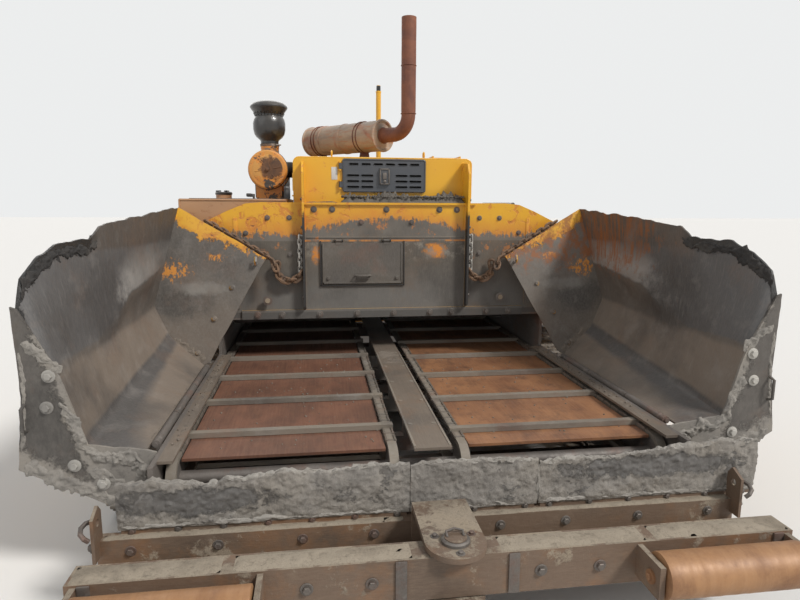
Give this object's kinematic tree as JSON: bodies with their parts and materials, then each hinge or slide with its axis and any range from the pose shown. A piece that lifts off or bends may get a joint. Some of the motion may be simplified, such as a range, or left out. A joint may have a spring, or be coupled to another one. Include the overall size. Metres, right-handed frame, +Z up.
{
  "type": "crawler asphalt paver",
  "caption": "Yellow crawler asphalt paver with open hopper, folding wings, slat conveyors, push rollers, augers and a lifting screed with sliding extensions.",
  "frame": {"origin": "on the ground, in the middle of the whole machine's length and width", "axes": "+Y from the hopper to the screed, +X to the machine's side seen on the right from the front, +Z up"},
  "size_m": [3.318, 6.4499, 2.87],
  "materials": {
    "yellow_paint": "worn satin enamel with scratches and dust",
    "orange_paint": "faded enamel with rust at the edges",
    "grille_paint": "slate grey enamel, dusty",
    "worn_steel": "scuffed steel with asphalt residue",
    "rusty_plate": "rust brown, polished where material slides",
    "track_steel": "dark, dusty, polished at the edges",
    "dark_metal": "satin",
    "chrome_rod": "polished",
    "crusted_rubber": "matt, crusted with dried asphalt",
    "rusty_muffler": "burnt paint and rust",
    "rusty_roller": "golden brown rust, polished by rolling",
    "black_plastic": "matt, dusty",
    "seat_vinyl": "grained vinyl"
  },
  "bodies": {
    "tractor": {"main_frame": "worn_steel", "nose_beam": "worn_steel", "hopper_floor": "rusty_plate", "conveyor_left": "worn_steel", "conveyor_right": "worn_steel", "apron_flaps": "crusted_rubber", "bulkhead": "yellow_paint", "hood": "yellow_paint", "engine_block": "dark_metal", "tank_left": "orange_paint", "tank_right": "yellow_paint", "fenders": "yellow_paint", "track_left": "track_steel", "track_right": "track_steel", "track_frames": "yellow_paint", "track_rollers": "track_steel", "muffler": "rusty_muffler", "exhaust_pipe": "rusty_muffler", "air_cleaner": "orange_paint", "air_precleaner": "black_plastic", "air_hose": "black_plastic", "operator_deck": "dark_metal", "mast": "yellow_paint", "consoles": "black_plastic", "seats": "seat_vinyl", "auger_frame": "yellow_paint"},
    "wing_left_body": {"wing_left": "worn_steel"},
    "wing_right_body": {"wing_right": "worn_steel"},
    "wing_barrel_left_body": {"wing_barrel_left": "dark_metal"},
    "wing_barrel_right_body": {"wing_barrel_right": "dark_metal"},
    "wing_rod_left_body": {"wing_rod_left": "chrome_rod"},
    "wing_rod_right_body": {"wing_rod_right": "chrome_rod"},
    "push_beam_body": {"push_beam": "worn_steel"},
    "push_roller_left_body": {"push_roller_left": "rusty_roller"},
    "push_roller_right_body": {"push_roller_right": "rusty_roller"},
    "access_door_body": {"access_door": "yellow_paint"},
    "grille_door_body": {"grille_door": "grille_paint"},
    "hood_door_left_body": {"hood_door_left": "yellow_paint"},
    "hood_door_right_body": {"hood_door_right": "yellow_paint"},
    "auger_left_body": {"auger_left": "worn_steel"},
    "auger_right_body": {"auger_right": "worn_steel"},
    "screed_body": {"screed_frame": "yellow_paint", "screed_plate": "worn_steel", "tow_arms": "yellow_paint"},
    "extension_left_body": {"extension_left": "yellow_paint"},
    "extension_right_body": {"extension_right": "yellow_paint"},
    "lift_barrel_left_body": {"lift_barrel_left": "dark_metal"},
    "lift_barrel_right_body": {"lift_barrel_right": "dark_metal"},
    "lift_rod_left_body": {"lift_rod_left": "chrome_rod"},
    "lift_rod_right_body": {"lift_rod_right": "chrome_rod"}
  },
  "joints": [
    {"name": "wing_right_fold", "type": "hinge", "parent": "tractor", "child": "wing_right_body", "pos_m": [1.144, -2.3, 0.6], "axis": [0, -1, 0], "range_deg": [0, 52]},
    {"name": "wing_left_fold", "type": "hinge", "parent": "tractor", "child": "wing_left_body", "pos_m": [-1.144, -2.3, 0.6], "axis": [0, 1, 0], "range_deg": [0, 52]},
    {"name": "wing_barrel_right_turn", "type": "hinge", "parent": "tractor", "child": "wing_barrel_right_body", "pos_m": [1.209, -2.3, 0.26], "axis": [0, -1, 0], "range_deg": [0, 16.77]},
    {"name": "wing_barrel_left_turn", "type": "hinge", "parent": "tractor", "child": "wing_barrel_left_body", "pos_m": [-1.209, -2.3, 0.26], "axis": [0, 1, 0], "range_deg": [0, 16.77]},
    {"name": "wing_rod_right_stroke", "type": "slide", "parent": "wing_barrel_right_body", "child": "wing_rod_right_body", "axis": [0.5328, 0, 0.8462], "range_m": [0, 0.18253]},
    {"name": "wing_rod_left_stroke", "type": "slide", "parent": "wing_barrel_left_body", "child": "wing_rod_left_body", "axis": [-0.5328, 0, 0.8462], "range_m": [0, 0.18253]},
    {"name": "push_beam_turn", "type": "hinge", "parent": "tractor", "child": "push_beam_body", "pos_m": [0, -2.995, 0.33], "axis": [0, 0, 1], "range_deg": [-3.5, 3.5]},
    {"name": "push_roller_right_spin", "type": "hinge", "parent": "push_beam_body", "child": "push_roller_right_body", "pos_m": [0.942, -3.145, 0.33], "axis": [1, 0, 0], "continuous": true},
    {"name": "push_roller_left_spin", "type": "hinge", "parent": "push_beam_body", "child": "push_roller_left_body", "pos_m": [-0.942, -3.145, 0.33], "axis": [1, 0, 0], "continuous": true},
    {"name": "access_door_open", "type": "hinge", "parent": "tractor", "child": "access_door_body", "pos_m": [-0.16, -0.896, 1.351], "axis": [-1, 0, 0], "range_deg": [0, 95]},
    {"name": "grille_open", "type": "hinge", "parent": "tractor", "child": "grille_door_body", "pos_m": [-0.301, -0.766, 1.781], "axis": [0, 0, -1], "range_deg": [0, 100]},
    {"name": "hood_door_right_open", "type": "hinge", "parent": "tractor", "child": "hood_door_right_body", "pos_m": [0.626, -0.3, 1.866], "axis": [0, -1, 0], "range_deg": [0, 80]},
    {"name": "hood_door_left_open", "type": "hinge", "parent": "tractor", "child": "hood_door_left_body", "pos_m": [-0.626, 0.31, 1.866], "axis": [0, 1, 0], "range_deg": [0, 80]},
    {"name": "auger_right_spin", "type": "hinge", "parent": "tractor", "child": "auger_right_body", "pos_m": [0.76, 2.09, 0.42], "axis": [1, 0, 0], "continuous": true},
    {"name": "auger_left_spin", "type": "hinge", "parent": "tractor", "child": "auger_left_body", "pos_m": [-0.76, 2.09, 0.42], "axis": [1, 0, 0], "continuous": true},
    {"name": "screed_lift", "type": "hinge", "parent": "tractor", "child": "screed_body", "pos_m": [0, -0.35, 0.5], "axis": [1, 0, 0], "range_deg": [0, 6]},
    {"name": "lift_barrel_right_turn", "type": "hinge", "parent": "tractor", "child": "lift_barrel_right_body", "pos_m": [1.51, 1.74, 1.48], "axis": [1, 0, 0], "range_deg": [0, 3.75]},
    {"name": "lift_rod_right_stroke", "type": "slide", "parent": "lift_barrel_right_body", "child": "lift_rod_right_body", "axis": [0, -0.296, 0.9552], "range_m": [0, 0.24131]},
    {"name": "lift_barrel_left_turn", "type": "hinge", "parent": "tractor", "child": "lift_barrel_left_body", "pos_m": [-1.51, 1.74, 1.48], "axis": [1, 0, 0], "range_deg": [0, 3.75]},
    {"name": "lift_rod_left_stroke", "type": "slide", "parent": "lift_barrel_left_body", "child": "lift_rod_left_body", "axis": [0, -0.296, 0.9552], "range_m": [0, 0.24131]},
    {"name": "extension_right_slide", "type": "slide", "parent": "screed_body", "child": "extension_right_body", "axis": [1, 0, 0], "range_m": [0, 1.2]},
    {"name": "extension_left_slide", "type": "slide", "parent": "screed_body", "child": "extension_left_body", "axis": [-1, 0, 0], "range_m": [0, 1.2]}
  ],
  "couplings": [
    {"joint": "wing_barrel_right_turn", "follows": "wing_right_fold", "ratio": 0.31864},
    {"joint": "wing_rod_right_stroke", "follows": "wing_right_fold", "m_per_rad": 0.20001},
    {"joint": "lift_barrel_right_turn", "follows": "screed_lift", "ratio": 0.60761},
    {"joint": "lift_rod_right_stroke", "follows": "screed_lift", "m_per_rad": 2.2948},
    {"joint": "wing_barrel_left_turn", "follows": "wing_left_fold", "ratio": 0.31864},
    {"joint": "wing_rod_left_stroke", "follows": "wing_left_fold", "m_per_rad": 0.20001},
    {"joint": "lift_barrel_left_turn", "follows": "screed_lift", "ratio": 0.60761},
    {"joint": "lift_rod_left_stroke", "follows": "screed_lift", "m_per_rad": 2.2948}
  ]
}
